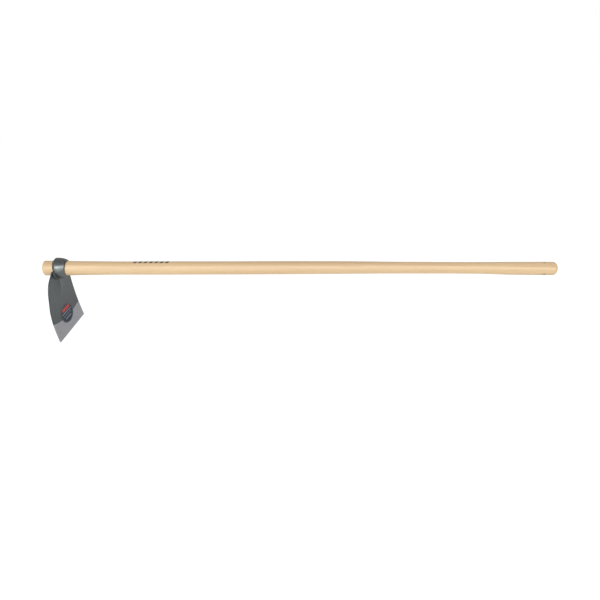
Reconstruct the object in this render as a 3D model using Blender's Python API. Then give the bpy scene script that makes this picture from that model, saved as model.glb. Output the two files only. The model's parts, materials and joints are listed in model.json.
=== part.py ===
"""Eye hoe: a pressed steel blade welded to a forged eye, on a drop-through ash handle.

The tool is designed in its own frame, whose origin is the centre of the handle's head end:
+X runs along the handle to the butt, Y across the blade, and the blade hangs towards -Z.
An empty then tilts that frame, so that the hoe stands on its cutting edge and its butt.
All lengths are in metres.
"""
import math

import bmesh
import bpy
from mathutils import Matrix, Vector

GAP = 0.0003                    # clearance between pieces that touch
ROUND_SIDES = 48                # facets round the handle and the eye, in step with each other

# Handle: 54 inches long, thickest in the eye, so that the head can only come off over the butt.
HANDLE_LENGTH = 1.3716
HANDLE_RADII = (                # distance from the head end, radius
    (0.000, 0.01980), (0.034, 0.01970), (0.100, 0.01890), (0.200, 0.01780),
    (0.300, 0.01800), (0.430, 0.01775), (0.700, 0.01750), (0.850, 0.01655),
    (0.930, 0.01595), (1.015, 0.01580), (1.100, 0.01565), (1.185, 0.01625),
    (1.245, 0.01735), (1.330, 0.01790), (1.3716, 0.01790),
)
HANDLE_RISE = (                 # distance from the head end, height of the wood's centre line
    (0.000, 0.0), (0.150, 0.0), (0.450, 0.0004), (0.810, 0.0015), (1.010, 0.0011),
    (1.160, 0.0005), (1.240, -0.0005), (1.330, -0.0010), (1.3716, -0.0011),
)
HANDLE_STEP = 0.040             # spacing of the rings of points along the shaft
HEAD_END_FLAT = 0.0125          # radius of the flat sawn end
HEAD_END_ROUND = 0.003          # length of the rounding behind that face
HEAD_END_STEPS = 4
BUTT_DOME = 0.012
BUTT_DOME_STEPS = 8
HANG_HOLE_RADIUS = 0.00475      # 3/8 inch drill, in the plane of symmetry
HANG_HOLE_FROM_BUTT = 0.038
HANG_HOLE_SIDES = 24

# Eye: a forged ring, a little longer and heavier on top, bevelled on the side of the blade.
EYE_START = 0.0296              # back rim, at the sides and below
EYE_HEEL = 0.0026               # how much further back the rim reaches on top
EYE_BACK_RADIUS = 0.0222        # where the flat back rim ends and the bevel starts
EYE_BEVEL = 0.0078
EYE_BEVEL_ON_TOP = 0.0060
EYE_RADIUS = 0.0281
EYE_TAPER_START = 0.0382
EYE_TAPER_LENGTH = 0.0130       # the stretch in which the taper reaches the two drops below
EYE_DROP_ON_TOP = 0.0015
EYE_DROP_BELOW = 0.0030
EYE_TAPER_POWER = 2.1
EYE_END = 0.0597                # front rim, at mid height
EYE_END_LEAN = 0.0016           # how much further forward the front rim reaches on top
EYE_MIN_WALL = 0.0018
EYE_RIM_ROUND = 0.0012
EYE_BARREL_STEPS = 7
EYE_BORE_STEPS = 4

# Blade: 3 mm plate, notched round the eye, curved towards the user, ground thin at its edge.
BLADE_BACK = 0.0288             # where the plate's back face stands below the eye
BLADE_THICKNESS = 0.0030
EDGE_THICKNESS = 0.0010
BLADE_DEPTH = 0.1800            # from the handle's centre line to the cutting edge
NOTCH_RADIUS = 0.0258
BLADE_HALF_OUTLINE = (          # half width, height: wing beside the eye, shoulder, side
    (0.0297, -0.0005), (0.0383, -0.0080), (0.0493, -0.0156), (0.0614, -0.0272),
    (0.0700, -0.0453), (0.0752, -0.0705), (0.0803, -0.0956), (0.0832, -0.1228),
    (0.0850, -0.1510), (0.0870, -0.1775),
)
OUTLINE_STEPS = 2               # points per stretch of that outline
CORNER_RADIUS = 0.0025
CORNER_STEPS = 3
HALF_EDGE_STEPS = 5             # stretches of cutting edge from a corner to the middle
BLADE_ROWS = 12                 # rows of faces from the notch out to the outline
SWEEP_START = 0.080             # the plate is straight down to here
SWEEP = 1.45                    # forward sweep below that, per metre of depth squared
GRIND_START = 0.136             # the front face is ground thinner from here to the edge
CREASE_HEIGHT = 0.0022          # pressed crease down the middle, below the eye
CREASE_AT_NOTCH = 0.0012
CREASE_HALF_WIDTH = 0.045
CREASE_TOP = 0.026
CREASE_PEAK = 0.042
CREASE_END = 0.092

# Weld: fills the bevel between eye and plate, and ends in a fillet on the plate's front face.
WELD_TOE_RADIUS = 0.0322
WELD_STEPS = 30
WELD_HOLLOW = 0.0006            # how far the fillet's face curves in

# Label: an oval sticker on the front face.
LABEL_HALF_WIDTH = 0.0365
LABEL_HALF_HEIGHT = 0.0245
LABEL_DEPTH = 0.1335            # its centre, below the handle's centre line
LABEL_THICKNESS = 0.0004
LABEL_SIDES = 36
LABEL_ROWS = 4


def clear_scene():
    for item in list(bpy.data.objects):
        bpy.data.objects.remove(item, do_unlink=True)


def value_at(table, place):
    """Smooth curve through a table of (place, value) pairs."""
    last = len(table) - 1

    def slope(i):
        before, after = table[max(i - 1, 0)], table[min(i + 1, last)]
        return (after[1] - before[1]) / (after[0] - before[0])

    place = min(max(place, table[0][0]), table[last][0])
    i = 0
    while i < last - 1 and place > table[i + 1][0]:
        i += 1
    (x0, y0), (x1, y1) = table[i], table[i + 1]
    span = x1 - x0
    t = (place - x0) / span
    return (y0 * (1 + 2 * t) * (1 - t) ** 2 + slope(i) * span * t * (1 - t) ** 2
            + y1 * t * t * (3 - 2 * t) + slope(i + 1) * span * t * t * (t - 1))


def smooth_path(points, steps):
    """Catmull-Rom curve through 2D points, with steps stretches between each two."""
    ends = [points[0]] + list(points) + [points[-1]]
    path = []
    for i in range(1, len(ends) - 2):
        a, b, c, d = (Vector(p) for p in ends[i - 1:i + 3])
        for k in range(steps):
            t = k / steps
            path.append(0.5 * (2 * b + (c - a) * t + (2 * a - 5 * b + 4 * c - d) * t * t
                               + (3 * b - 3 * c + d - a) * t ** 3))
    path.append(Vector(points[-1]))
    return path


def material(name, colour, roughness, metallic):
    made = bpy.data.materials.new(name)
    made.use_nodes = True
    shader = made.node_tree.nodes["Principled BSDF"]
    shader.inputs["Base Color"].default_value = (*colour, 1.0)
    shader.inputs["Roughness"].default_value = roughness
    shader.inputs["Metallic"].default_value = metallic
    made.diffuse_color = (*colour, 1.0)
    return made


def piece(name, mesh_points, faces, finish, parent, sharp=math.radians(35)):
    """Make one closed object from points and faces, smooth apart from its sharp edges."""
    mesh = bpy.data.meshes.new(name)
    body = bmesh.new()
    points = [body.verts.new(p) for p in mesh_points]
    for face in faces:
        body.faces.new([points[i] for i in face])
    bmesh.ops.recalc_face_normals(body, faces=body.faces)
    body.to_mesh(mesh)
    body.free()
    mesh.shade_smooth()
    mesh.set_sharp_from_angle(angle=sharp)
    mesh.materials.append(finish)
    made = bpy.data.objects.new(name, mesh)
    bpy.context.collection.objects.link(made)
    made.parent = parent
    return made


def empty(name, parent=None):
    made = bpy.data.objects.new(name, None)
    made.empty_display_size = 0.05
    bpy.context.collection.objects.link(made)
    made.parent = parent
    return made


def on_circle(station, radius, angle, rise=0.0):
    """Point at an angle from the top, round the line of the handle."""
    return Vector((station, radius * math.sin(angle), radius * math.cos(angle) + rise))


def tube_faces(rings, sides, closed_on_itself=False):
    """Faces between successive rings of points, each ring with the same number of sides."""
    faces = []
    for i in range(rings if closed_on_itself else rings - 1):
        here, there = i * sides, ((i + 1) % rings) * sides
        for j in range(sides):
            k = (j + 1) % sides
            faces.append((here + j, here + k, there + k, there + j))
    return faces


# Handle ------------------------------------------------------------------------------------

def handle_radius(station):
    return value_at(HANDLE_RADII, station)


def handle_rings():
    """(station, radius) of every ring of points, from the flat end to the tip of the dome."""
    rings = []
    full = handle_radius(HEAD_END_ROUND)
    for k in range(HEAD_END_STEPS + 1):
        turn = 0.5 * math.pi * k / HEAD_END_STEPS
        rings.append((HEAD_END_ROUND * (1 - math.cos(turn)),
                      HEAD_END_FLAT + (full - HEAD_END_FLAT) * math.sin(turn)))
    dome_start = HANDLE_LENGTH - BUTT_DOME
    count = round((dome_start - HEAD_END_ROUND) / HANDLE_STEP)
    for k in range(1, count + 1):
        station = HEAD_END_ROUND + (dome_start - HEAD_END_ROUND) * k / count
        rings.append((station, handle_radius(station)))
    for k in range(1, BUTT_DOME_STEPS):
        turn = 0.5 * math.pi * k / BUTT_DOME_STEPS
        rings.append((dome_start + BUTT_DOME * math.sin(turn),
                      handle_radius(dome_start) * math.cos(turn)))
    return rings


def make_handle(parent):
    rings = handle_rings()
    points = []
    for station, radius in rings:
        rise = value_at(HANDLE_RISE, station)
        for j in range(ROUND_SIDES):
            points.append(on_circle(station, radius, math.tau * j / ROUND_SIDES, rise))
    points.append(Vector((HANDLE_LENGTH, 0, value_at(HANDLE_RISE, HANDLE_LENGTH))))
    faces = tube_faces(len(rings), ROUND_SIDES)
    faces.append(range(ROUND_SIDES))
    last, tip = (len(rings) - 1) * ROUND_SIDES, len(points) - 1
    for j in range(ROUND_SIDES):
        faces.append((last + j, last + (j + 1) % ROUND_SIDES, tip))
    ash = material("ash_wood", (0.80, 0.60, 0.38), 0.50, 0.0)
    handle = piece("handle", points, faces, ash, parent)
    cutter = make_hang_hole_cutter(ash, parent)
    cut = handle.modifiers.new("hang_hole", "BOOLEAN")
    cut.operation = "DIFFERENCE"
    cut.solver = "EXACT"
    cut.object = cutter
    return handle


def make_hang_hole_cutter(finish, parent):
    """Rod straight down through the butt."""
    half_length = 2 * handle_radius(HANDLE_LENGTH)
    points = []
    for height in (-half_length, half_length):
        for j in range(HANG_HOLE_SIDES):
            turn = math.tau * (j + 0.5) / HANG_HOLE_SIDES
            points.append(Vector((HANG_HOLE_RADIUS * math.cos(turn),
                                  HANG_HOLE_RADIUS * math.sin(turn), height)))
    faces = tube_faces(2, HANG_HOLE_SIDES)
    faces.append(range(HANG_HOLE_SIDES))
    faces.append(range(HANG_HOLE_SIDES, 2 * HANG_HOLE_SIDES))
    cutter = piece("hang_hole_cutter", points, faces, finish, parent)
    station = HANDLE_LENGTH - HANG_HOLE_FROM_BUTT
    cutter.location = (station, 0, value_at(HANDLE_RISE, station))
    cutter.hide_render = True
    cutter.display_type = "WIRE"
    return cutter


# Eye ---------------------------------------------------------------------------------------

def eye_back_rim(angle):
    """Station of the back rim, and the length of the bevel beside it."""
    heel = max(0.0, math.cos(angle)) ** 2
    bevel = EYE_BEVEL + (EYE_BEVEL_ON_TOP - EYE_BEVEL) * heel
    return EYE_START - EYE_HEEL * heel, bevel


def eye_bevel_radius(station, angle):
    start, bevel = eye_back_rim(angle)
    return EYE_BACK_RADIUS + (EYE_RADIUS - EYE_BACK_RADIUS) * (station - start) / bevel


def eye_barrel_radius(station, angle):
    low = 0.5 * (1 - math.cos(angle))
    drop = EYE_DROP_ON_TOP + (EYE_DROP_BELOW - EYE_DROP_ON_TOP) * low
    along = max(0.0, station - EYE_TAPER_START) / EYE_TAPER_LENGTH
    thinnest = handle_radius(station) + GAP + EYE_MIN_WALL
    return max(EYE_RADIUS - drop * along ** EYE_TAPER_POWER, thinnest)


def eye_section(angle):
    """Closed (station, radius) outline of the eye's wall at one angle."""
    start, bevel = eye_back_rim(angle)
    end = EYE_END + EYE_END_LEAN * math.cos(angle)
    section = [(start, EYE_BACK_RADIUS)]
    barrel = start + bevel
    rim = end - EYE_RIM_ROUND
    for k in range(EYE_BARREL_STEPS + 1):
        station = barrel + (rim - barrel) * k / EYE_BARREL_STEPS
        section.append((station, eye_barrel_radius(station, angle)))
    rim_radius = section[-1][1]
    section.append((end - 0.3 * EYE_RIM_ROUND, rim_radius - 0.35 * EYE_RIM_ROUND))
    section.append((end, rim_radius - EYE_RIM_ROUND))
    for k in range(EYE_BORE_STEPS + 1):
        station = end + (start - end) * k / EYE_BORE_STEPS
        section.append((station, handle_radius(station) + GAP))
    return section


def make_eye(parent):
    sections = []
    for j in range(ROUND_SIDES):
        angle = math.tau * j / ROUND_SIDES
        sections.append([on_circle(s, r, angle) for s, r in eye_section(angle)])
    sides = len(sections[0])
    points = [p for section in sections for p in section]
    faces = tube_faces(ROUND_SIDES, sides, closed_on_itself=True)
    steel = material("lacquered_eye", (0.10, 0.115, 0.115), 0.35, 0.6)
    return piece("eye_ring", points, faces, steel, parent)


# Blade -------------------------------------------------------------------------------------

def crease(y, z):
    """Height of the pressed crease above the flat plate."""
    depth = -z
    if depth < CREASE_PEAK:
        along = max(0.0, depth - CREASE_TOP) / (CREASE_PEAK - CREASE_TOP)
        height = CREASE_AT_NOTCH + (CREASE_HEIGHT - CREASE_AT_NOTCH) * along
    else:
        left = max(0.0, CREASE_END - depth) / (CREASE_END - CREASE_PEAK)
        height = CREASE_HEIGHT * left ** 1.5
    return height * max(0.0, 1 - abs(y) / CREASE_HALF_WIDTH) ** 2


def blade_back(y, z):
    return BLADE_BACK + SWEEP * max(0.0, -z - SWEEP_START) ** 2 + crease(y, z)


def blade_front(y, z):
    ground = min(max(0.0, -z - GRIND_START) / (BLADE_DEPTH - GRIND_START), 1.0)
    thickness = BLADE_THICKNESS + (EDGE_THICKNESS - BLADE_THICKNESS) * ground ** 2
    return blade_back(y, z) + thickness


def blade_half_outline():
    """Points (y, z) from the wing, round the shoulder and corner, to the middle of the edge."""
    path = smooth_path(BLADE_HALF_OUTLINE, OUTLINE_STEPS)[:-1]
    corner_y = BLADE_HALF_OUTLINE[-1][0] - CORNER_RADIUS
    for k in range(CORNER_STEPS + 1):
        turn = 0.5 * math.pi * k / CORNER_STEPS
        path.append(Vector((corner_y + CORNER_RADIUS * math.cos(turn),
                            CORNER_RADIUS * (1 - math.sin(turn)) - BLADE_DEPTH)))
    for k in range(1, HALF_EDGE_STEPS + 1):
        path.append(Vector((corner_y * (1 - k / HALF_EDGE_STEPS), -BLADE_DEPTH)))
    return path


def make_blade(parent):
    right = blade_half_outline()
    left = [Vector((-p.x, p.y)) for p in reversed(right[:-1])]
    spokes = []
    for outer in right + left:
        inner = outer.normalized() * NOTCH_RADIUS
        spokes.append([inner.lerp(outer, k / BLADE_ROWS) for k in range(BLADE_ROWS + 1)])
    points = []
    for spoke in spokes:
        loop = [Vector((blade_front(y, z), y, z)) for y, z in spoke]
        loop += [Vector((blade_back(y, z), y, z)) for y, z in reversed(spoke)]
        points += loop
    sides = 2 * (BLADE_ROWS + 1)
    faces = tube_faces(len(spokes), sides)
    for first in (0, (len(spokes) - 1) * sides):
        for k in range(BLADE_ROWS):
            faces.append((first + k, first + k + 1,
                          first + sides - 2 - k, first + sides - 1 - k))
    steel = material("blade_steel", (0.12, 0.13, 0.13), 0.45, 0.5)
    return piece("blade", points, faces, steel, parent, sharp=math.radians(25))


# Weld --------------------------------------------------------------------------------------

def weld_section(angle):
    """Closed outline of the weld at one angle, as points round the eye."""
    def on_plate(radius):
        y, z = radius * math.sin(angle), radius * math.cos(angle)
        return blade_front(y, z) + GAP

    side = NOTCH_RADIUS - GAP
    back = EYE_START
    shoulder = EYE_START + EYE_BEVEL
    off_bevel = 1.4 * GAP
    root = on_plate(side)
    toe = on_plate(WELD_TOE_RADIUS)
    middle = (0.5 * (toe + shoulder) - WELD_HOLLOW,
              0.5 * (WELD_TOE_RADIUS + EYE_RADIUS) - WELD_HOLLOW)
    outline = [
        (back, eye_bevel_radius(back, angle) + off_bevel),
        (back, side),
        (root, side),
        (toe, WELD_TOE_RADIUS),
        middle,
        (shoulder, EYE_RADIUS + off_bevel),
    ]
    return [on_circle(station, radius, angle) for station, radius in outline]


def make_weld(parent):
    tip = BLADE_HALF_OUTLINE[0]
    first = math.atan2(tip[0], tip[1])
    points = []
    for j in range(WELD_STEPS + 1):
        angle = first + (math.tau - 2 * first) * j / WELD_STEPS
        points += weld_section(angle)
    sides = len(points) // (WELD_STEPS + 1)
    faces = tube_faces(WELD_STEPS + 1, sides)
    faces.append(range(sides))
    faces.append(range(WELD_STEPS * sides, (WELD_STEPS + 1) * sides))
    weld = material("weld_metal", (0.09, 0.10, 0.10), 0.50, 0.5)
    return piece("eye_weld", points, faces, weld, parent)


# Label -------------------------------------------------------------------------------------

def make_label(parent):
    """Thin oval skin that follows the blade's front face."""
    layers = []
    for lift in (GAP, GAP + LABEL_THICKNESS):
        middle = Vector((blade_front(0, -LABEL_DEPTH) + lift, 0, -LABEL_DEPTH))
        rings = []
        for k in range(1, LABEL_ROWS + 1):
            size = k / LABEL_ROWS
            for j in range(LABEL_SIDES):
                turn = math.tau * j / LABEL_SIDES
                y = size * LABEL_HALF_WIDTH * math.cos(turn)
                z = size * LABEL_HALF_HEIGHT * math.sin(turn) - LABEL_DEPTH
                rings.append(Vector((blade_front(y, z) + lift, y, z)))
        layers.append((middle, rings))
    points, faces = [], []
    for middle, rings in layers:
        base = len(points)
        points += rings + [middle]
        centre = len(points) - 1
        for j in range(LABEL_SIDES):
            faces.append((base + j, base + (j + 1) % LABEL_SIDES, centre))
        faces += [[base + i for i in face] for face in tube_faces(LABEL_ROWS, LABEL_SIDES)]
    rim = (LABEL_ROWS - 1) * LABEL_SIDES
    upper = len(points) // 2
    for j in range(LABEL_SIDES):
        k = (j + 1) % LABEL_SIDES
        faces.append((rim + j, rim + k, upper + rim + k, upper + rim + j))
    vinyl = material("label_vinyl", (0.035, 0.05, 0.075), 0.40, 0.0)
    return piece("blade_label", points, faces, vinyl, parent)


# Whole tool --------------------------------------------------------------------------------

def stand_on_floor(frame, pieces):
    """Tilt the tool onto its cutting edge and butt, and centre it over the origin."""
    corners = [v.co for made in pieces for v in made.data.vertices]
    edge = max(corners, key=lambda p: (-round(p.z, 6), p.x))
    tilt = min(math.atan2(p.z - edge.z, p.x - edge.x) for p in corners if p.x > edge.x)
    turn = Matrix.Rotation(tilt, 3, "Y")
    placed = [turn @ p for p in corners]
    middle_x = 0.5 * (min(p.x for p in placed) + max(p.x for p in placed))
    frame.rotation_euler = (0, tilt, 0)
    frame.location = (-middle_x, 0, -min(p.z for p in placed))


def main():
    clear_scene()
    tool_frame = empty("tool_frame")
    head_frame = empty("head_frame", tool_frame)
    pieces = [make_handle(tool_frame)]
    for make in (make_eye, make_blade, make_weld, make_label):
        pieces.append(make(head_frame))
    stand_on_floor(tool_frame, pieces)


main()
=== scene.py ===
"""Looks of the eye hoe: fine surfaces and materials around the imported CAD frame.

Every piece is modelled in the tool's own frame, whose origin is the centre of the handle's
head end: +X runs along the handle to the butt, Y across the blade, and the blade hangs
towards -Z. placed() turns that frame into the row frame. All lengths are in metres.
"""

import json
import math

import bmesh
import bpy
from mathutils import Matrix, Vector, noise


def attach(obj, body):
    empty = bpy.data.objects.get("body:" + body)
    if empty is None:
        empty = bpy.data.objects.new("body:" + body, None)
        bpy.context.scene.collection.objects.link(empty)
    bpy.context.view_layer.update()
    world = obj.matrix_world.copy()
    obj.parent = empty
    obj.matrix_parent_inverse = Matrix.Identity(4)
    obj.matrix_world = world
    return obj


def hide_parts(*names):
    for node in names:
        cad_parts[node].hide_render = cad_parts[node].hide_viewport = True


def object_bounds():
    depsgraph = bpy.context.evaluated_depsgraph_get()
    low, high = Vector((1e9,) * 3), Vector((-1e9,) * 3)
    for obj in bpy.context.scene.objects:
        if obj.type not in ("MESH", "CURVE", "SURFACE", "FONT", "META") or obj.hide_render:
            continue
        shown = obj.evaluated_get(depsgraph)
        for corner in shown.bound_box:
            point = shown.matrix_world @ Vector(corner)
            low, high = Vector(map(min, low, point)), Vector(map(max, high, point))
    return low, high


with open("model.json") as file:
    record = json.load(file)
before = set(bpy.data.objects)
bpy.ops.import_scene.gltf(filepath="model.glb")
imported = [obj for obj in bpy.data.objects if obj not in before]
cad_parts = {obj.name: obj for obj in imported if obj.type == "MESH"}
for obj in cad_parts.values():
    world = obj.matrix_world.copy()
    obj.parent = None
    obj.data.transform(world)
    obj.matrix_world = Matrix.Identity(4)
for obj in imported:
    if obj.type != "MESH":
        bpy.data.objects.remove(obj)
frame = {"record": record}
cad_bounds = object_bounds()

# Tool frame, from the mount on the handle's head end.
HEAD_END = next(m for m in frame["record"]["mounts"] if m["name"] == "head_end_face")
ALONG = -Vector(HEAD_END["axis"]).normalized()
ACROSS = Vector((0, 1, 0))
TOOL = Matrix((ALONG, ACROSS, ALONG.cross(ACROSS))).transposed().to_4x4()
TOOL.translation = Vector(HEAD_END["pos_m"])

# Handle.
HANDLE_LENGTH = 1.3716
HANDLE_RADII = (                # distance from the head end, radius
    (0.000, 0.01980), (0.034, 0.01970), (0.100, 0.01890), (0.200, 0.01780),
    (0.300, 0.01800), (0.430, 0.01775), (0.700, 0.01750), (0.850, 0.01655),
    (0.930, 0.01595), (1.015, 0.01580), (1.100, 0.01565), (1.185, 0.01625),
    (1.245, 0.01735), (1.330, 0.01790), (1.3716, 0.01790),
)
HANDLE_RISE = (                 # distance from the head end, height of the wood's centre line
    (0.000, 0.0), (0.150, 0.0), (0.450, 0.0004), (0.810, 0.0015), (1.010, 0.0011),
    (1.160, 0.0005), (1.240, -0.0005), (1.330, -0.0010), (1.3716, -0.0011),
)
HANDLE_SIDES = 112
HANDLE_STEP = 0.009
HEAD_END_FLAT = 0.0125          # radius of the flat sawn end
HEAD_END_ROUND = 0.003
HEAD_END_STEPS = 10
BUTT_DOME = 0.012
BUTT_DOME_STEPS = 16
HANG_HOLE_RADIUS = 0.00475
HANG_HOLE_FROM_BUTT = 0.038
HANG_HOLE_SIDES = 48
HANG_HOLE_FLARE = 0.0012        # how much wider the eased lip is than the hole
HANG_HOLE_LIP = 0.0012          # how far below the surface that easing starts
HANG_HOLE_BEYOND = 0.004        # how far the cutter reaches past the wood
HANDLE_SHARP = 28               # degrees

# Colour painted on the wood: grain and tone, and painted shade.
PITH_SHIFT = (0.0, 0.034, -0.021)               # puts the middle of the growth rings off the wood
PITH_TURN = (0.0, math.radians(0.7), math.radians(-0.9))
RINGS_STRETCH = (0.05, 1.0, 1.0)
MIDDLE_START, MIDDLE_END, MIDDLE_SOFT = 0.46, 1.00, 0.24
GRIP_START, GRIP_FULL = 1.16, 1.27              # where the painted shade under the grip sets in
GRIP_SIDE, GRIP_UNDER = -0.007, -0.015
SAWN_NONE, SAWN_FULL = 0.0009, 0.0002           # how far from the head end the sawn look goes
EYE_GAP_SHADE_BACK, EYE_GAP_SHADE_FRONT, EYE_GAP_SHADE_SOFT = -0.004, 0.0018, 0.0006   # band of painted shade on the wood at the eye's front, where the gap shades it
HOLE_SHADE_OFFSET = 0.0110          # dark painted shade on the wood beside the hole's lower mouth, standing for the hole's shaded mouth
HOLE_SHADE_LENGTH = 0.0085
HOLE_SHADE_WIDTH = 0.0055

# Printed row on top of the handle: plain slanted bars.
MARK_START = 0.2405
MARK_PITCH = 0.0142
MARK_BARS = 7
MARK_BAR_SHARE = 0.60
MARK_SLANT = 0.35
MARK_HALF_WIDTH = 0.0084        # along the wood's surface, round from its middle
MARK_MIDDLE = 0.0016            # how far round from the top that middle lies

# Eye.
EYE_START = 0.0296
EYE_HEEL = 0.0026
EYE_BACK_RADIUS = 0.0222
EYE_BEVEL = 0.0078
EYE_BEVEL_ON_TOP = 0.0060
EYE_RADIUS = 0.0281
EYE_TAPER_START = 0.0382
EYE_TAPER_LENGTH = 0.0130
EYE_DROP_ON_TOP = 0.0015
EYE_DROP_BELOW = 0.0030
EYE_TAPER_POWER = 2.1
EYE_END = 0.0597
EYE_END_LEAN = 0.0016
EYE_MIN_WALL = 0.0018
BORE_GAP = 0.0003
EYE_SIDES = 160
EYE_BEVEL_STEPS = 6
EYE_BARREL_STEPS = 22
EYE_BORE_STEPS = 8
FORGE_WAVE = 0.00018            # unevenness left by the hammer
EYE_EASE = 0.0009               # width of the eased edges
EYE_EASE_STEPS = 4
EYE_SHARP = 22                  # degrees

# Blade.
BLADE_BACK = 0.0288
BLADE_THICKNESS = 0.0030
EDGE_THICKNESS = 0.0010
BLADE_DEPTH = 0.1800
NOTCH_RADIUS = 0.0258
BLADE_HALF_OUTLINE = (          # half width, height: wing beside the eye, shoulder, side
    (0.0297, -0.0005), (0.0383, -0.0080), (0.0493, -0.0156), (0.0614, -0.0272),
    (0.0700, -0.0453), (0.0752, -0.0705), (0.0803, -0.0956), (0.0832, -0.1228),
    (0.0850, -0.1510), (0.0870, -0.1775),
)
OUTLINE_STEPS = 8
CORNER_RADIUS = 0.0025
CORNER_STEPS = 8
HALF_EDGE_STEPS = 26
BLADE_ROWS = 60
SWEEP_START = 0.080
SWEEP = 1.45
GRIND_START = 0.136
GROUND_LINE_DEPTH = 0.1405      # where the lacquer ends on the front face, at mid width
GROUND_LINE_TILT = 0.038
GROUND_LINE_BOW = 1.20
BACK_STRIP = 0.0075             # bare strip along the edge on the back face
CREASE_HEIGHT = 0.0022
CREASE_AT_NOTCH = 0.0012
CREASE_HALF_WIDTH = 0.045
CREASE_TOP = 0.026
CREASE_PEAK = 0.042
CREASE_END = 0.092
BLADE_EASE = 0.0004

# Weld.
WELD_TOE_RADIUS = 0.0316
WELD_STEPS = 320
WELD_FACE_STEPS = 8
WELD_HOLLOW = 0.0006
WELD_RIPPLES = 46               # scallops along the bead
WELD_RIPPLE = 0.00022
WELD_UNEVEN = 0.0004
WELD_END_SHARE = 0.35           # how full the bead is at its two ends
WELD_END_GROWTH = 4.0
CLEAR = 0.0003

# Label.
LABEL_HALF_WIDTH = 0.0365
LABEL_HALF_HEIGHT = 0.0245
LABEL_DEPTH = 0.1335
LABEL_THICKNESS = 0.0003
LABEL_LIFT = 0.00004
LABEL_SIDES = 128
LABEL_ROWS = 14
LABEL_EASE = 0.00012
LABEL_RIM = (0.925, 0.955)      # pale rim, as shares of the oval
LABEL_BAR = (0.40, 0.74, 0.62)  # low, high and half length, as shares of the half height and width
LABEL_LINE = (0.17, 0.225, 0.78)
UPPER_BLOCKS = (-0.20, -0.02, 0.70)
LOWER_BLOCKS = (-0.52, -0.38, 0.50)
BLOCKS_PER_HALF = 5             # blocks that would fit in half the label's width

# Stage.
FLOOR_CLEARANCE = 0.010
FLOOR_RADIUS = 9.0
FLOOR_SIDES = 96
FLOOR_GREY = 0.38
FLOOR_GLOW = 0.76
WORLD_LIGHT = 0.62
CAMERA_DISTANCE = 1.46
CAMERA_ELEVATION = math.radians(25)
CAMERA_STATION = 0.6834         # how far along the handle the camera stands
CAMERA_BELOW = 0.0855           # how far the camera's axis passes below the handle's line
SENSOR_WIDTH = 36.0             # millimetres
LENS = 32.712

# Colours, linear.
WHITE = (1.0, 1.0, 1.0, 1.0)
ASH_DEEP = (0.536, 0.380, 0.203)
ASH_PALE = (0.606, 0.448, 0.261)
LATE_WOOD = (0.47, 0.305, 0.160)
PALE_STREAK = (0.70, 0.550, 0.365)
DARK_STREAK = (0.43, 0.270, 0.140)
FIBRE = (0.41, 0.265, 0.140)
PORE = (0.33, 0.19, 0.09)
SHAFT_SHADE = (0.42, 0.262, 0.135)
SAWN_WOOD = (0.38, 0.240, 0.125)
DOME_WOOD = (0.38, 0.255, 0.130)
GRIP_PAINTED_SHADE = (0.36, 0.220, 0.115)
HOLE_PAINTED_SHADE = (0.16, 0.065, 0.030)
EYE_GAP_PAINTED_SHADE = (0.070, 0.045, 0.034)
INK = (0.02, 0.016, 0.013)
EYE_DARK = (0.090, 0.101, 0.100)
EYE_LIGHT = (0.126, 0.139, 0.139)
EYE_PAINTED_SHADE = (0.022, 0.027, 0.027)
WELD_DARK = (0.032, 0.038, 0.038)
WELD_LIGHT = (0.062, 0.070, 0.070)
BLADE_DARK = (0.015, 0.024, 0.024)
BLADE_LIGHT = (0.030, 0.041, 0.041)
CREASE_PAINTED_SHADE = (0.006, 0.010, 0.010)
STEEL_DARK = (0.214, 0.216, 0.232)
STEEL_LIGHT = (0.296, 0.296, 0.318)
KEEN_EDGE = (0.52, 0.52, 0.54)
NAVY_DARK = (0.006, 0.012, 0.025)
NAVY_LIGHT = (0.012, 0.021, 0.038)
RIM_GREY = (0.11, 0.13, 0.16)
BAR_RED = (0.40, 0.030, 0.020)
LINE_GREY = (0.30, 0.33, 0.37)
UPPER_GREY = (0.075, 0.100, 0.135)
LOWER_GREY = (0.17, 0.20, 0.24)


def value_at(table, place):
    """Smooth curve through a table of (place, value) pairs."""
    last = len(table) - 1

    def slope(i):
        before, after = table[max(i - 1, 0)], table[min(i + 1, last)]
        return (after[1] - before[1]) / (after[0] - before[0])

    place = min(max(place, table[0][0]), table[last][0])
    i = 0
    while i < last - 1 and place > table[i + 1][0]:
        i += 1
    (x0, y0), (x1, y1) = table[i], table[i + 1]
    span = x1 - x0
    t = (place - x0) / span
    return (y0 * (1 + 2 * t) * (1 - t) ** 2 + slope(i) * span * t * (1 - t) ** 2
            + y1 * t * t * (3 - 2 * t) + slope(i + 1) * span * t * t * (t - 1))


def smooth_path(points, steps):
    """Catmull-Rom curve through 2D points, with steps stretches between each two."""
    ends = [points[0]] + list(points) + [points[-1]]
    path = []
    for i in range(1, len(ends) - 2):
        a, b, c, d = (Vector(p) for p in ends[i - 1:i + 3])
        for k in range(steps):
            t = k / steps
            path.append(0.5 * (2 * b + (c - a) * t + (2 * a - 5 * b + 4 * c - d) * t * t
                               + (3 * b - 3 * c + d - a) * t ** 3))
    path.append(Vector(points[-1]))
    return path


def on_circle(station, radius, angle, rise=0.0):
    """Point at an angle from the top, round the line of the handle."""
    return Vector((station, radius * math.sin(angle), radius * math.cos(angle) + rise))


def tube_faces(rings, sides, closed_on_itself=False):
    """Faces between successive rings of points, each ring with the same number of sides."""
    faces = []
    for i in range(rings if closed_on_itself else rings - 1):
        here, there = i * sides, ((i + 1) % rings) * sides
        for j in range(sides):
            k = (j + 1) % sides
            faces.append((here + j, here + k, there + k, there + j))
    return faces


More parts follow.
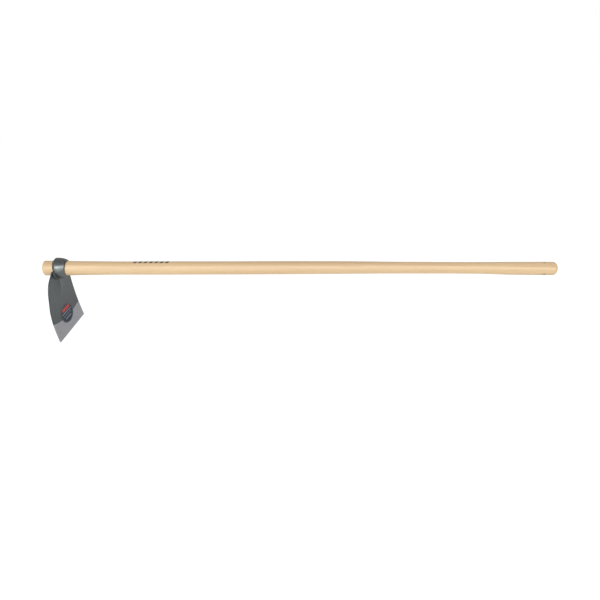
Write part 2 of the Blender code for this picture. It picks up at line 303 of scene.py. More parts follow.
def placed(name, points, faces, sharp=35):
    """Closed object from points and faces in the tool's frame, put in the row frame."""
    mesh = bpy.data.meshes.new(name)
    body = bmesh.new()
    corners = [body.verts.new(TOOL @ p) for p in points]
    for face in faces:
        body.faces.new([corners[i] for i in face])
    bmesh.ops.recalc_face_normals(body, faces=body.faces)
    body.to_mesh(mesh)
    body.free()
    mesh.shade_smooth()
    mesh.set_sharp_from_angle(angle=math.radians(sharp))
    made = bpy.data.objects.new(name, mesh)
    bpy.context.scene.collection.objects.link(made)
    return made


def ease_edges(made, width, segments=2, angle=35):
    """Round a piece's sharp edges with a narrow bevel."""
    bevel = made.modifiers.new("eased_edges", "BEVEL")
    bevel.width = width
    bevel.segments = segments
    bevel.limit_method = "ANGLE"
    bevel.angle_limit = math.radians(angle)
    bevel.harden_normals = True


def stands_for(made, node, body, finish):
    """Let a piece take the place of a CAD node, on its body and with its finish."""
    made.data.materials.append(finish)
    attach(made, body)
    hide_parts(node)


# Materials ---------------------------------------------------------------------------------

class Shader:
    """A material under construction: short calls that add and link its nodes."""

    def __init__(self, name):
        self.made = bpy.data.materials.new(name)
        self.made.use_nodes = True
        self.nodes = self.made.node_tree.nodes
        self.links = self.made.node_tree.links
        self.surface = self.nodes["Principled BSDF"]
        self.tool = self.tool_coordinates()

    def link(self, source, socket):
        if isinstance(source, (int, float, tuple)):
            socket.default_value = source
        else:
            self.links.new(source, socket)

    def tool_coordinates(self):
        """Place of a point in the tool's own frame, in metres."""
        place = self.nodes.new("ShaderNodeTexCoord")
        turned = self.nodes.new("ShaderNodeMapping")
        turned.vector_type = "TEXTURE"
        turned.inputs["Location"].default_value = TOOL.translation
        turned.inputs["Rotation"].default_value = TOOL.to_euler()
        self.links.new(place.outputs["Object"], turned.inputs["Vector"])
        return turned.outputs["Vector"]

    def stretched(self, scale, offset=(0, 0, 0)):
        node = self.nodes.new("ShaderNodeMapping")
        node.inputs["Scale"].default_value = scale
        node.inputs["Location"].default_value = offset
        self.links.new(self.tool, node.inputs["Vector"])
        return node.outputs["Vector"]

    def parts(self, vector=None):
        node = self.nodes.new("ShaderNodeSeparateXYZ")
        self.links.new(vector or self.tool, node.inputs[0])
        return node.outputs["X"], node.outputs["Y"], node.outputs["Z"]

    def math(self, operation, a, b=0.0):
        node = self.nodes.new("ShaderNodeMath")
        node.operation = operation
        for source, socket in zip((a, b), node.inputs):
            self.link(source, socket)
        return node.outputs[0]

    def noise(self, vector, scale=1.0, detail=3.0, roughness=0.5):
        node = self.nodes.new("ShaderNodeTexNoise")
        node.inputs["Scale"].default_value = scale
        node.inputs["Detail"].default_value = detail
        node.inputs["Roughness"].default_value = roughness
        self.links.new(vector, node.inputs["Vector"])
        return node.outputs["Fac"]

    def span(self, value, low, high, out_low=0.0, out_high=1.0, smooth=False):
        """The value's stretch from low to high, mapped onto out_low to out_high and held there."""
        node = self.nodes.new("ShaderNodeMapRange")
        node.interpolation_type = "SMOOTHSTEP" if smooth else "LINEAR"
        node.clamp = True
        for source, name in ((value, "Value"), (low, "From Min"), (high, "From Max"),
                             (out_low, "To Min"), (out_high, "To Max")):
            self.link(source, node.inputs[name])
        return node.outputs["Result"]

    def between(self, value, low, high, soft):
        """1 inside low to high, 0 outside, with soft flanks."""
        up = self.span(value, low - soft, low + soft, smooth=True)
        down = self.span(value, high - soft, high + soft, 1.0, 0.0, smooth=True)
        return self.math("MULTIPLY", up, down)

    def mix(self, share, a, b):
        """Colour a where share is 0, b where it is 1."""
        node = self.nodes.new("ShaderNodeMix")
        node.data_type = "RGBA"
        self.link(share, node.inputs["Factor"])
        for source, socket in ((a, node.inputs[6]), (b, node.inputs[7])):
            self.link((*source, 1.0) if isinstance(source, tuple) else source, socket)
        return node.outputs[2]

    def bump(self, height, distance, strength=1.0):
        node = self.nodes.new("ShaderNodeBump")
        node.inputs["Distance"].default_value = distance
        node.inputs["Strength"].default_value = strength
        self.links.new(height, node.inputs["Height"])
        self.links.new(node.outputs["Normal"], self.surface.inputs["Normal"])

    def finish(self, colour, roughness, metallic=0.0, coat=0.0, coat_roughness=0.2):
        self.link(colour, self.surface.inputs["Base Color"])
        self.link(roughness, self.surface.inputs["Roughness"])
        self.link(metallic, self.surface.inputs["Metallic"])
        self.surface.inputs["Coat Weight"].default_value = coat
        self.surface.inputs["Coat Roughness"].default_value = coat_roughness
        return self.made


def printed_bars(s):
    """1 on the row of slanted bars printed on top of the handle."""
    x, y, z = s.parts()
    wood_radius = value_at(HANDLE_RADII, MARK_START + 0.5 * MARK_BARS * MARK_PITCH)
    round_from_top = s.math("MULTIPLY", s.math("ARCTAN2", y, z), wood_radius)
    off_middle = s.math("SUBTRACT", round_from_top, MARK_MIDDLE)
    slanted = s.math("SUBTRACT", x, s.math("MULTIPLY", off_middle, MARK_SLANT))
    along = s.math("DIVIDE", s.math("SUBTRACT", slanted, MARK_START), MARK_PITCH)
    in_bar = s.between(s.math("FRACT", along), 0.1, 0.1 + MARK_BAR_SHARE, 0.02)
    in_row = s.between(along, 0.0, float(MARK_BARS), 0.01)
    in_height = s.between(off_middle, -MARK_HALF_WIDTH, MARK_HALF_WIDTH, 0.0002)
    return s.math("MULTIPLY", s.math("MULTIPLY", in_bar, in_row), in_height)


def ash_wood():
    """Pale ash under a thin satin varnish, its growth rings round a pith beside the handle."""
    s = Shader("ash_wood")
    x, y, z = s.parts()
    rings = s.nodes.new("ShaderNodeTexWave")
    rings.wave_type = "RINGS"
    rings.rings_direction = "X"
    rings.inputs["Scale"].default_value = 120.0
    rings.inputs["Distortion"].default_value = 5.0
    rings.inputs["Detail"].default_value = 3.0
    rings.inputs["Detail Scale"].default_value = 0.35
    pith = s.nodes.new("ShaderNodeMapping")
    pith.inputs["Location"].default_value = PITH_SHIFT
    pith.inputs["Rotation"].default_value = PITH_TURN
    pith.inputs["Scale"].default_value = RINGS_STRETCH
    s.links.new(s.tool, pith.inputs["Vector"])
    s.links.new(pith.outputs["Vector"], rings.inputs["Vector"])
    late_wood = s.span(rings.outputs["Fac"], 0.45, 0.95, smooth=True)

    broad = s.noise(s.stretched((1.6, 26.0, 26.0)), detail=2.0)
    streaks = s.noise(s.stretched((3.5, 190.0, 190.0), (0.7, 0.2, 0.4)), detail=4.0)
    fibres = s.noise(s.stretched((26.0, 1500.0, 1500.0)), detail=2.0)
    pores = s.span(s.noise(s.stretched((75.0, 2300.0, 2300.0), (0.3, 0.1, 0.9)), detail=1.0),
                   0.66, 0.74)
    porous = s.math("MULTIPLY", pores, s.span(late_wood, 0.0, 0.6, 1.0, 0.25))

    colour = s.mix(s.span(broad, 0.30, 0.72), ASH_DEEP, ASH_PALE)
    colour = s.mix(s.math("MULTIPLY", late_wood, 0.34), colour, LATE_WOOD)
    colour = s.mix(s.span(streaks, 0.52, 0.80, 0.0, 0.34), colour, PALE_STREAK)
    colour = s.mix(s.span(streaks, 0.48, 0.24, 0.0, 0.34), colour, DARK_STREAK)
    colour = s.mix(s.span(fibres, 0.35, 0.65, 0.0, 0.10), colour, FIBRE)
    colour = s.mix(s.math("MULTIPLY", porous, 0.30), colour, PORE)
    middle = s.between(x, MIDDLE_START, MIDDLE_END, MIDDLE_SOFT)
    colour = s.mix(s.math("MULTIPLY", middle, 0.30), colour, SHAFT_SHADE)
    sawn = s.span(x, SAWN_NONE, SAWN_FULL)
    colour = s.mix(s.math("MULTIPLY", sawn, 0.5), colour, SAWN_WOOD)
    dome = s.span(x, HANDLE_LENGTH - 0.7 * BUTT_DOME, HANDLE_LENGTH, 0.0, 0.80)
    colour = s.mix(dome, colour, DOME_WOOD)
    # Painted shade: the grip's underside is darkened towards the butt.
    painted_shade_under_grip = s.math("MULTIPLY", s.span(x, GRIP_START, GRIP_FULL, smooth=True),
                        s.span(z, GRIP_SIDE, GRIP_UNDER, smooth=True))
    colour = s.mix(s.math("MULTIPLY", painted_shade_under_grip, 0.42), colour, GRIP_PAINTED_SHADE)
    # Painted shade: a dark spot on the wood beside the hang hole's lower mouth.
    from_hole = s.math("ABSOLUTE", s.math("SUBTRACT", x, HANDLE_LENGTH - HANG_HOLE_FROM_BUTT))
    beside = s.math("ABSOLUTE", s.math("ADD", y, HOLE_SHADE_OFFSET))
    away = s.math("ADD", s.math("POWER", s.math("DIVIDE", from_hole, HOLE_SHADE_LENGTH), 2.0),
                  s.math("POWER", s.math("DIVIDE", beside, HOLE_SHADE_WIDTH), 2.0))
    painted_hole_shade = s.math("MULTIPLY", s.span(away, 1.0, 0.2, smooth=True), s.span(z, 0.0, -0.004))
    colour = s.mix(s.math("MULTIPLY", painted_hole_shade, 0.75), colour, HOLE_PAINTED_SHADE)
    # Painted shade: a dark band on the wood just past the eye's front rim, standing for the shaded
    # gap between eye and wood.
    rim_lean = EYE_END_LEAN / handle_radius(EYE_END)
    front_rim = s.math("ADD", s.math("MULTIPLY", z, rim_lean), EYE_END)
    past_rim = s.math("SUBTRACT", x, front_rim)
    painted_gap_shade = s.between(past_rim, EYE_GAP_SHADE_BACK, EYE_GAP_SHADE_FRONT, EYE_GAP_SHADE_SOFT)
    colour = s.mix(s.math("MULTIPLY", painted_gap_shade, 0.80), colour, EYE_GAP_PAINTED_SHADE)
    ink = printed_bars(s)
    colour = s.mix(s.math("MULTIPLY", ink, 0.93), colour, INK)

    relief = s.math("SUBTRACT", s.math("MULTIPLY", streaks, 0.3), porous)
    s.bump(relief, 0.00006)
    roughness = s.math("ADD", s.span(broad, 0.3, 0.7, 0.40, 0.48),
                       s.math("MULTIPLY", s.math("MAXIMUM", sawn, porous), 0.15))
    return s.finish(colour, roughness, coat=0.12, coat_roughness=0.35)


def lacquer_colour(s, dark, light, along):
    """Thin lacquer that lets the streaks of the steel under it show."""
    across = 260.0
    scale = [across, across, across]
    scale[along] = 14.0
    streaks = s.noise(s.stretched(tuple(scale)), detail=4.0)
    clouds = s.noise(s.tool, 34.0, detail=3.0)
    tone = s.math("ADD", s.math("MULTIPLY", streaks, 0.6), s.math("MULTIPLY", clouds, 0.4))
    return s.mix(s.span(tone, 0.34, 0.66), dark, light), clouds


def eye_lacquer():
    s = Shader("eye_lacquer")
    colour, clouds = lacquer_colour(s, EYE_DARK, EYE_LIGHT, 0)
    x, _, z = s.parts()
    # Painted shade: the back bevel, the front rim and the underside are darkened; the same mask
    # also makes the lacquer less metallic there.
    near_back = s.span(x, EYE_START - 0.0005, EYE_START + 0.0060, 0.80, 0.0, smooth=True)
    back_edge = s.math("MULTIPLY", near_back, s.span(z, 0.0020, 0.0120))
    front_edge = s.span(x, EYE_END - 0.0010, EYE_END + 0.0002, 0.0, 0.40, smooth=True)
    underside = s.span(z, -0.0150, -0.0240, 0.0, 0.90, smooth=True)
    painted_eye_shade = s.math("MAXIMUM", s.math("MAXIMUM", back_edge, front_edge), underside)
    colour = s.mix(painted_eye_shade, colour, EYE_PAINTED_SHADE)
    grains = s.noise(s.tool, 900.0, detail=3.0)
    hammered = s.noise(s.tool, 95.0, detail=2.0)
    s.bump(s.math("ADD", s.math("MULTIPLY", grains, 0.10), hammered), 0.00035, 0.7)
    roughness = s.math("ADD", s.span(clouds, 0.3, 0.7, 0.30, 0.38),
                       s.math("MULTIPLY", underside, 0.40))
    metallic = s.span(painted_eye_shade, 0.0, 0.9, 0.9, 0.15)
    return s.finish(colour, roughness, metallic=metallic, coat=0.10, coat_roughness=0.25)


def weld_lacquer():
    s = Shader("weld_lacquer")
    colour, clouds = lacquer_colour(s, WELD_DARK, WELD_LIGHT, 0)
    grains = s.noise(s.tool, 700.0, detail=4.0)
    s.bump(grains, 0.0003, 0.6)
    return s.finish(colour, s.span(clouds, 0.3, 0.7, 0.42, 0.58), metallic=0.6)


def blade_lacquer():
    """Dark lacquer above, bare ground steel along the cutting edge."""
    s = Shader("blade_lacquer")
    x, y, z = s.parts()
    depth = s.math("MULTIPLY", z, -1.0)
    colour, clouds = lacquer_colour(s, BLADE_DARK, BLADE_LIGHT, 2)

    wander = s.span(s.noise(s.tool, 28.0, detail=4.0), 0.3, 0.7, -0.0016, 0.0016)
    slope = s.math("SUBTRACT", GROUND_LINE_TILT, s.math("MULTIPLY", y, GROUND_LINE_BOW))
    bow = s.math("MULTIPLY", slope, y)
    swept = s.math("MAXIMUM", s.math("SUBTRACT", depth, SWEEP_START), 0.0)
    back = s.math("ADD", s.math("MULTIPLY", s.math("MULTIPLY", swept, swept), SWEEP), BLADE_BACK)
    on_front = s.span(s.math("SUBTRACT", x, back), 0.0004, 0.0006)
    start = s.span(on_front, 0.0, 1.0, BLADE_DEPTH - BACK_STRIP, GROUND_LINE_DEPTH)
    line = s.math("ADD", s.math("ADD", s.math("MULTIPLY", bow, on_front), wander), start)
    past = s.math("SUBTRACT", depth, line)
    bare = s.span(past, -0.0006, 0.0008, smooth=True)
    scratches = s.noise(s.stretched((700.0, 900.0, 22.0), (0.4, 0.8, 0.2)), detail=3.0)
    steel = s.mix(s.span(scratches, 0.30, 0.70), STEEL_DARK, STEEL_LIGHT)
    steel = s.mix(s.span(depth, BLADE_DEPTH - 0.0022, BLADE_DEPTH - 0.0004, 0.0, 0.6),
                  steel, KEEN_EDGE)
    # Painted shade: a dark strip on one side of the crease, towards its top.
    painted_crease_shade = s.math("MULTIPLY", s.between(y, -0.0060, -0.0004, 0.0008),
                       s.between(depth, CREASE_TOP, CREASE_PEAK + 0.020, 0.010))
    colour = s.mix(s.math("MULTIPLY", painted_crease_shade, 0.70), colour, CREASE_PAINTED_SHADE)
    colour = s.mix(bare, colour, steel)

    grains = s.noise(s.tool, 650.0, detail=3.0)
    soft_relief = s.math("ADD", s.math("MULTIPLY", grains, 0.25), clouds)
    relief = s.math("ADD", s.math("MULTIPLY", soft_relief, s.math("SUBTRACT", 1.0, bare)),
                    s.math("MULTIPLY", s.math("MULTIPLY", scratches, bare), 0.25))
    s.bump(relief, 0.00025, 0.5)
    roughness = s.math("ADD", s.span(clouds, 0.3, 0.7, 0.40, 0.48),
                       s.math("MULTIPLY", bare, 0.03))
    metallic = s.span(bare, 0.0, 1.0, 0.35, 0.85)
    return s.finish(colour, roughness, metallic=metallic, coat=0.12, coat_roughness=0.35)


def label_vinyl():
    """Printed sticker: a navy oval with a red bar, a pale line and rows of grey blocks."""
    s = Shader("label_vinyl")
    _, y, z = s.parts()
    u = s.math("DIVIDE", y, LABEL_HALF_WIDTH)
    v = s.math("DIVIDE", s.math("ADD", z, LABEL_DEPTH), LABEL_HALF_HEIGHT)
    reach = s.math("SQRT", s.math("ADD", s.math("MULTIPLY", u, u), s.math("MULTIPLY", v, v)))
    side = s.math("ABSOLUTE", u)
    navy = s.mix(s.noise(s.tool, 60.0, detail=2.0), NAVY_DARK, NAVY_LIGHT)

    def bar(low, high, half_length):
        return s.math("MULTIPLY", s.between(v, low, high, 0.012),
                      s.span(side, half_length + 0.01, half_length - 0.01))

    def blocks(low, high, half_length):
        along = s.math("FRACT", s.math("ADD", s.math("MULTIPLY", u, float(BLOCKS_PER_HALF)), 0.5))
        return s.math("MULTIPLY", bar(low, high, half_length),
                      s.between(along, 0.12, 0.88, 0.03))

    colour = s.mix(s.between(reach, *LABEL_RIM, 0.006), navy, RIM_GREY)
    colour = s.mix(bar(*LABEL_BAR), colour, BAR_RED)
    colour = s.mix(bar(*LABEL_LINE), colour, LINE_GREY)
    colour = s.mix(blocks(*UPPER_BLOCKS), colour, UPPER_GREY)
    colour = s.mix(blocks(*LOWER_BLOCKS), colour, LOWER_GREY)
    s.bump(s.noise(s.tool, 400.0, detail=2.0), 0.00004, 0.5)
    s.surface.inputs["Specular IOR Level"].default_value = 0.18
    return s.finish(colour, 0.5, coat=0.03, coat_roughness=0.25)


# Handle ------------------------------------------------------------------------------------

def handle_radius(station):
    return value_at(HANDLE_RADII, station)


def handle_rings():
    """(station, radius) of every ring of points, from the flat end to the tip of the dome."""
    full = handle_radius(HEAD_END_ROUND)
    rings = [(0.0, 0.5 * HEAD_END_FLAT)]
    for k in range(HEAD_END_STEPS + 1):
        turn = 0.5 * math.pi * k / HEAD_END_STEPS
        rings.append((HEAD_END_ROUND * (1 - math.cos(turn)),
                      HEAD_END_FLAT + (full - HEAD_END_FLAT) * math.sin(turn)))
    dome_start = HANDLE_LENGTH - BUTT_DOME
    count = round((dome_start - HEAD_END_ROUND) / HANDLE_STEP)
    for k in range(1, count + 1):
        station = HEAD_END_ROUND + (dome_start - HEAD_END_ROUND) * k / count
        rings.append((station, handle_radius(station)))
    for k in range(1, BUTT_DOME_STEPS):
        turn = 0.5 * math.pi * k / BUTT_DOME_STEPS
        rings.append((dome_start + BUTT_DOME * math.sin(turn),
                      handle_radius(dome_start) * math.cos(turn)))
    return rings


def hang_hole_cutter():
    """Rod straight down through the butt, flared where it leaves the wood."""
    station = HANDLE_LENGTH - HANG_HOLE_FROM_BUTT
    surface = handle_radius(station)
    lip = surface - HANG_HOLE_LIP
    flare = HANG_HOLE_RADIUS + HANG_HOLE_FLARE
    beyond = surface + HANG_HOLE_BEYOND
    widest = flare + HANG_HOLE_BEYOND
    profile = ((-beyond, widest), (-surface, flare), (-lip, HANG_HOLE_RADIUS),
               (lip, HANG_HOLE_RADIUS), (surface, flare), (beyond, widest))
    rise = value_at(HANDLE_RISE, station)
    points = []
    for height, radius in profile:
        for j in range(HANG_HOLE_SIDES):
            turn = math.tau * (j + 0.5) / HANG_HOLE_SIDES
            points.append(Vector((station + radius * math.cos(turn),
                                  radius * math.sin(turn), height + rise)))
    faces = tube_faces(len(profile), HANG_HOLE_SIDES)
    faces.append(range(HANG_HOLE_SIDES))
    faces.append(range((len(profile) - 1) * HANG_HOLE_SIDES, len(profile) * HANG_HOLE_SIDES))
    return placed("hang_hole_cutter", points, faces)


def make_handle():
    rings = handle_rings()
    points = []
    for station, radius in rings:
        rise = value_at(HANDLE_RISE, station)
        for j in range(HANDLE_SIDES):
            points.append(on_circle(station, radius, math.tau * j / HANDLE_SIDES, rise))
    points.append(Vector((0, 0, 0)))
    points.append(Vector((HANDLE_LENGTH, 0, value_at(HANDLE_RISE, HANDLE_LENGTH))))
    faces = tube_faces(len(rings), HANDLE_SIDES)
    last, centre, tip = (len(rings) - 1) * HANDLE_SIDES, len(points) - 2, len(points) - 1
    for j in range(HANDLE_SIDES):
        k = (j + 1) % HANDLE_SIDES
        faces.append((j, k, centre))
        faces.append((last + j, last + k, tip))
    whole = placed("handle_wood", points, faces)
    cutter = hang_hole_cutter()
    cut = whole.modifiers.new("hang_hole", "BOOLEAN")
    cut.operation = "DIFFERENCE"
    cut.solver = "EXACT"
    cut.object = cutter
    bpy.context.view_layer.update()
    drilled = bpy.data.meshes.new_from_object(whole.evaluated_get(
        bpy.context.evaluated_depsgraph_get()))
    whole.modifiers.clear()
    whole.data = drilled
    drilled.name = "handle_wood"
    drilled.materials.clear()
    drilled.shade_smooth()
    drilled.set_sharp_from_angle(angle=math.radians(HANDLE_SHARP))
    bpy.data.objects.remove(cutter)
    stands_for(whole, "handle", "handle", ash_wood())


# Eye ---------------------------------------------------------------------------------------

def eye_back_rim(angle):
    """Station of the back rim, and the length of the bevel beside it."""
    heel = max(0.0, math.cos(angle)) ** 2
    bevel = EYE_BEVEL + (EYE_BEVEL_ON_TOP - EYE_BEVEL) * heel
    return EYE_START - EYE_HEEL * heel, bevel


def eye_bevel_radius(station, angle):
    start, bevel = eye_back_rim(angle)
    return EYE_BACK_RADIUS + (EYE_RADIUS - EYE_BACK_RADIUS) * (station - start) / bevel


def eye_barrel_radius(station, angle):
    low = 0.5 * (1 - math.cos(angle))
    drop = EYE_DROP_ON_TOP + (EYE_DROP_BELOW - EYE_DROP_ON_TOP) * low
    along = max(0.0, station - EYE_TAPER_START) / EYE_TAPER_LENGTH
    thinnest = handle_radius(station) + BORE_GAP + EYE_MIN_WALL
    return max(EYE_RADIUS - drop * along ** EYE_TAPER_POWER, thinnest)


def forged(point):
    """Unevenness of a hammered surface, always inwards."""
    return FORGE_WAVE * (noise.noise(point * 70.0) - 1.0)


def eye_section(angle):
    """Closed outline of the eye's wall at one angle, as points round the handle."""
    start, bevel = eye_back_rim(angle)
    end = EYE_END + EYE_END_LEAN * math.cos(angle)
    outer = []
    for k in range(EYE_BEVEL_STEPS):
        station = start + bevel * k / EYE_BEVEL_STEPS
        outer.append((station, eye_bevel_radius(station, angle)))
    for k in range(EYE_BARREL_STEPS + 1):
        station = start + bevel + (end - start - bevel) * k / EYE_BARREL_STEPS
        outer.append((station, eye_barrel_radius(station, angle)))
    section = []
    for station, radius in outer:
        point = on_circle(station, radius, angle)
        section.append(on_circle(station, radius + forged(point), angle))
    for k in range(EYE_BORE_STEPS + 1):
        station = end + (start - end) * k / EYE_BORE_STEPS
        section.append(on_circle(station, handle_radius(station) + BORE_GAP, angle))
    return section


def make_eye():
    sections = [eye_section(math.tau * j / EYE_SIDES) for j in range(EYE_SIDES)]
    points = [p for section in sections for p in section]
    faces = tube_faces(EYE_SIDES, len(sections[0]), closed_on_itself=True)
    eye = placed("forged_eye", points, faces, sharp=EYE_SHARP)
    ease_edges(eye, EYE_EASE, EYE_EASE_STEPS, angle=EYE_SHARP)
    stands_for(eye, "eye_ring", "head", eye_lacquer())


# Blade -------------------------------------------------------------------------------------

def crease(y, z):
    """Height of the pressed crease above the flat plate."""
    depth = -z
    if depth < CREASE_PEAK:
        along = max(0.0, depth - CREASE_TOP) / (CREASE_PEAK - CREASE_TOP)
        height = CREASE_AT_NOTCH + (CREASE_HEIGHT - CREASE_AT_NOTCH) * along
    else:
        left = max(0.0, CREASE_END - depth) / (CREASE_END - CREASE_PEAK)
        height = CREASE_HEIGHT * left ** 1.5
    return height * max(0.0, 1 - abs(y) / CREASE_HALF_WIDTH) ** 2


def blade_back(y, z):
    return BLADE_BACK + SWEEP * max(0.0, -z - SWEEP_START) ** 2 + crease(y, z)


def blade_front(y, z):
    ground = min(max(0.0, -z - GRIND_START) / (BLADE_DEPTH - GRIND_START), 1.0)
    thickness = BLADE_THICKNESS + (EDGE_THICKNESS - BLADE_THICKNESS) * ground ** 2
    return blade_back(y, z) + thickness


def blade_half_outline():
    """Points (y, z) from the wing, round the shoulder and corner, to the middle of the edge."""
    path = smooth_path(BLADE_HALF_OUTLINE, OUTLINE_STEPS)[:-1]
    corner_y = BLADE_HALF_OUTLINE[-1][0] - CORNER_RADIUS
    for k in range(CORNER_STEPS + 1):
        turn = 0.5 * math.pi * k / CORNER_STEPS
        path.append(Vector((corner_y + CORNER_RADIUS * math.cos(turn),
                            CORNER_RADIUS * (1 - math.sin(turn)) - BLADE_DEPTH)))
    for k in range(1, HALF_EDGE_STEPS + 1):
        path.append(Vector((corner_y * (1 - k / HALF_EDGE_STEPS), -BLADE_DEPTH)))
    return path


def make_blade():
    right = blade_half_outline()
    left = [Vector((-p.x, p.y)) for p in reversed(right[:-1])]
    spokes = []
    for outer in right + left:
        inner = outer.normalized() * NOTCH_RADIUS
        spokes.append([inner.lerp(outer, k / BLADE_ROWS) for k in range(BLADE_ROWS + 1)])
    points = []
    for spoke in spokes:
        points += [Vector((blade_front(y, z), y, z)) for y, z in spoke]
        points += [Vector((blade_back(y, z), y, z)) for y, z in reversed(spoke)]
    sides = 2 * (BLADE_ROWS + 1)
    faces = tube_faces(len(spokes), sides)
    for first in (0, (len(spokes) - 1) * sides):
        for k in range(BLADE_ROWS):
            faces.append((first + k, first + k + 1,
                          first + sides - 2 - k, first + sides - 1 - k))
    blade = placed("steel_blade", points, faces, sharp=28)
    ease_edges(blade, BLADE_EASE, angle=50)
    stands_for(blade, "blade", "head", blade_lacquer())


# Weld --------------------------------------------------------------------------------------

def weld_section(angle, step):
    """Closed outline of the weld at one angle, its face scalloped by the ripples of the bead."""
    def on_plate(radius):
        y, z = radius * math.sin(angle), radius * math.cos(angle)
        return blade_front(y, z) + 0.2 * CLEAR

    side = NOTCH_RADIUS - CLEAR
    back = EYE_START
    shoulder = EYE_START + EYE_BEVEL
    off_bevel = 0.4 * CLEAR
    uneven = noise.noise(Vector((14.0 * angle, 0.3, 0.7)))
    full = min(1.0, WELD_END_SHARE + WELD_END_GROWTH * min(step, 1.0 - step))
    toe_radius = EYE_RADIUS + (WELD_TOE_RADIUS - EYE_RADIUS) * full + WELD_UNEVEN * uneven
    toe = Vector((on_plate(toe_radius), toe_radius))
    crown = Vector((shoulder + WELD_UNEVEN * uneven, EYE_RADIUS + off_bevel))
    inward = Vector((toe.y - crown.y, crown.x - toe.x)).normalized()
    ripple = WELD_RIPPLE * abs(math.sin(0.5 * math.tau * WELD_RIPPLES * step + uneven))
    outline = [
        Vector((back, eye_bevel_radius(back, angle) + off_bevel)),
        Vector((back, side)),
        Vector((on_plate(side), side)),
    ]
    for k in range(WELD_FACE_STEPS + 1):
        across = k / WELD_FACE_STEPS
        swell = 4 * across * (1 - across)
        outline.append(toe.lerp(crown, across) + inward * (WELD_HOLLOW - ripple) * swell)
    return [on_circle(p.x, p.y, angle) for p in outline]


def make_weld():
    tip = BLADE_HALF_OUTLINE[0]
    first = math.atan2(tip[0], tip[1])
    points = []
    for j in range(WELD_STEPS + 1):
        step = j / WELD_STEPS
        points += weld_section(first + (math.tau - 2 * first) * step, step)
    sides = len(points) // (WELD_STEPS + 1)
    faces = tube_faces(WELD_STEPS + 1, sides)
    faces.append(range(sides))
    faces.append(range(WELD_STEPS * sides, (WELD_STEPS + 1) * sides))
    weld = placed("weld_bead", points, faces, sharp=50)
    stands_for(weld, "eye_weld", "head", weld_lacquer())


# Label -------------------------------------------------------------------------------------

def make_label():
    """Thin oval skin that follows the blade's front face."""
    layers = []
    for lift in (LABEL_LIFT, LABEL_LIFT + LABEL_THICKNESS):
        middle = Vector((blade_front(0, -LABEL_DEPTH) + lift, 0, -LABEL_DEPTH))
        rings = []
        for k in range(1, LABEL_ROWS + 1):
            size = k / LABEL_ROWS
            for j in range(LABEL_SIDES):
                turn = math.tau * j / LABEL_SIDES
                y = size * LABEL_HALF_WIDTH * math.cos(turn)
                z = size * LABEL_HALF_HEIGHT * math.sin(turn) - LABEL_DEPTH
                rings.append(Vector((blade_front(y, z) + lift, y, z)))
        layers.append((middle, rings))
    points, faces = [], []
    for middle, rings in layers:
        base = len(points)
        points += rings + [middle]
        centre = len(points) - 1
        for j in range(LABEL_SIDES):
            faces.append((base + j, base + (j + 1) % LABEL_SIDES, centre))
        faces += [[base + i for i in face] for face in tube_faces(LABEL_ROWS, LABEL_SIDES)]
    rim = (LABEL_ROWS - 1) * LABEL_SIDES
    upper = len(points) // 2
    for j in range(LABEL_SIDES):
        k = (j + 1) % LABEL_SIDES
        faces.append((rim + j, rim + k, upper + rim + k, upper + rim + j))
    label = placed("oval_sticker", points, faces)
    ease_edges(label, LABEL_EASE)
    stands_for(label, "blade_label", "head", label_vinyl())


# Stage -------------------------------------------------------------------------------------

def make_floor():
    """Round floor, low enough that the head stays above it when it has slid off the butt."""
    slide = frame["record"]["behaviour"]["joints"][0]
    lowest = cad_bounds[0][2] + slide["range_m"][1] * slide["axis"][2]
    mesh = bpy.data.meshes.new("floor")
    body = bmesh.new()
    bmesh.ops.create_circle(body, cap_ends=True, segments=FLOOR_SIDES, radius=FLOOR_RADIUS)
    body.to_mesh(mesh)
    body.free()
    floor = bpy.data.objects.new("floor", mesh)
    floor.location = (0, 0, lowest - FLOOR_CLEARANCE)
    bpy.context.scene.collection.objects.link(floor)
    paint = bpy.data.materials.new("pale_floor")
    paint.use_nodes = True
    surface = paint.node_tree.nodes["Principled BSDF"]
    surface.inputs["Base Color"].default_value = (FLOOR_GREY, FLOOR_GREY, FLOOR_GREY, 1.0)
    surface.inputs["Roughness"].default_value = 0.9
    surface.inputs["Specular IOR Level"].default_value = 0.2
    surface.inputs["Emission Color"].default_value = WHITE
    surface.inputs["Emission Strength"].default_value = FLOOR_GLOW
    mesh.materials.append(paint)


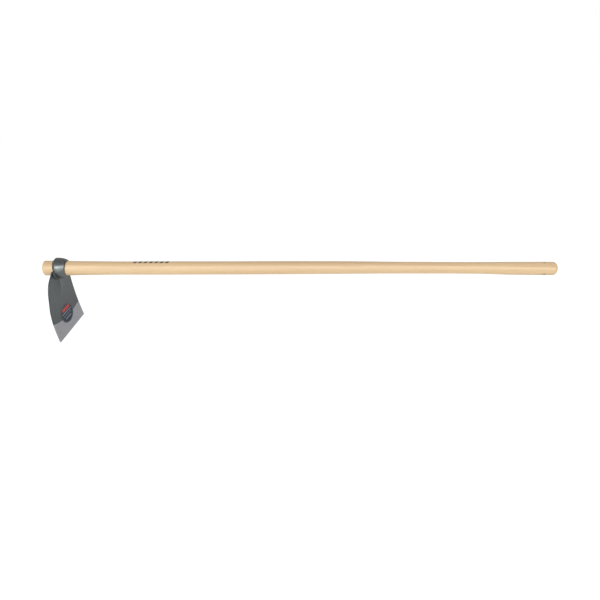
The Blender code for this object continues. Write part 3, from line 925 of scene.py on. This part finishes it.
def make_softbox(name, azimuth, elevation, distance, width, height, watts, gloss_only=False):
    """Area light that looks at the object; azimuth 0 is the camera's side, positive is right."""
    azimuth, elevation = math.radians(azimuth), math.radians(elevation)
    away = Vector((math.sin(azimuth) * math.cos(elevation),
                   -math.cos(azimuth) * math.cos(elevation), math.sin(elevation)))
    lamp = bpy.data.lights.new(name, "AREA")
    lamp.shape = "RECTANGLE"
    lamp.size = width
    lamp.size_y = height
    lamp.energy = watts
    softbox = bpy.data.objects.new(name, lamp)
    softbox.matrix_world = away.to_track_quat("Z", "Y").to_matrix().to_4x4()
    softbox.location = away * distance
    softbox.visible_camera = False
    softbox.visible_diffuse = not gloss_only
    bpy.context.scene.collection.objects.link(softbox)


def make_light():
    """Pale surroundings, white to the camera, and three softboxes, one of them for gloss only."""
    world = bpy.data.worlds.new("studio")
    world.use_nodes = True
    nodes, links = world.node_tree.nodes, world.node_tree.links
    light = nodes["Background"]
    light.inputs["Color"].default_value = WHITE
    light.inputs["Strength"].default_value = WORLD_LIGHT
    backdrop = nodes.new("ShaderNodeBackground")
    backdrop.inputs["Color"].default_value = WHITE
    rays = nodes.new("ShaderNodeLightPath")
    either = nodes.new("ShaderNodeMixShader")
    links.new(rays.outputs["Is Camera Ray"], either.inputs["Fac"])
    links.new(light.outputs[0], either.inputs[1])
    links.new(backdrop.outputs[0], either.inputs[2])
    links.new(either.outputs[0], nodes["World Output"].inputs["Surface"])
    bpy.context.scene.world = world
    make_softbox("wide_softbox", 4, 31, 4.5, 6.4, 1.9, 132.0)
    make_softbox("key_softbox", -24, 31, 4.0, 0.8, 0.8, 28.0)
    make_softbox("gloss_softbox", 14, 14, 4.2, 6.4, 3.0, 140.0, gloss_only=True)


def make_camera():
    """Camera square to the handle, above it and in front of its middle."""
    ahead = Vector((0, math.cos(CAMERA_ELEVATION), -math.sin(CAMERA_ELEVATION)))
    up = Vector((0, math.sin(CAMERA_ELEVATION), math.cos(CAMERA_ELEVATION)))
    turned = Matrix((Vector((1, 0, 0)), up, -ahead)).transposed().to_4x4()
    turned.translation = (Vector((CAMERA_STATION, 0, 0)) - CAMERA_DISTANCE * ahead
                          - CAMERA_BELOW * up)
    lens = bpy.data.cameras.new("camera")
    lens.sensor_width = SENSOR_WIDTH
    lens.lens = LENS
    camera = bpy.data.objects.new("camera", lens)
    camera.matrix_world = TOOL @ turned
    bpy.context.scene.collection.objects.link(camera)
    bpy.context.scene.camera = camera
    bpy.context.scene.view_settings.view_transform = "Standard"


make_camera()
make_light()
make_floor()
make_handle()
make_eye()
make_blade()
make_weld()
make_label()

bpy.context.view_layer.update()
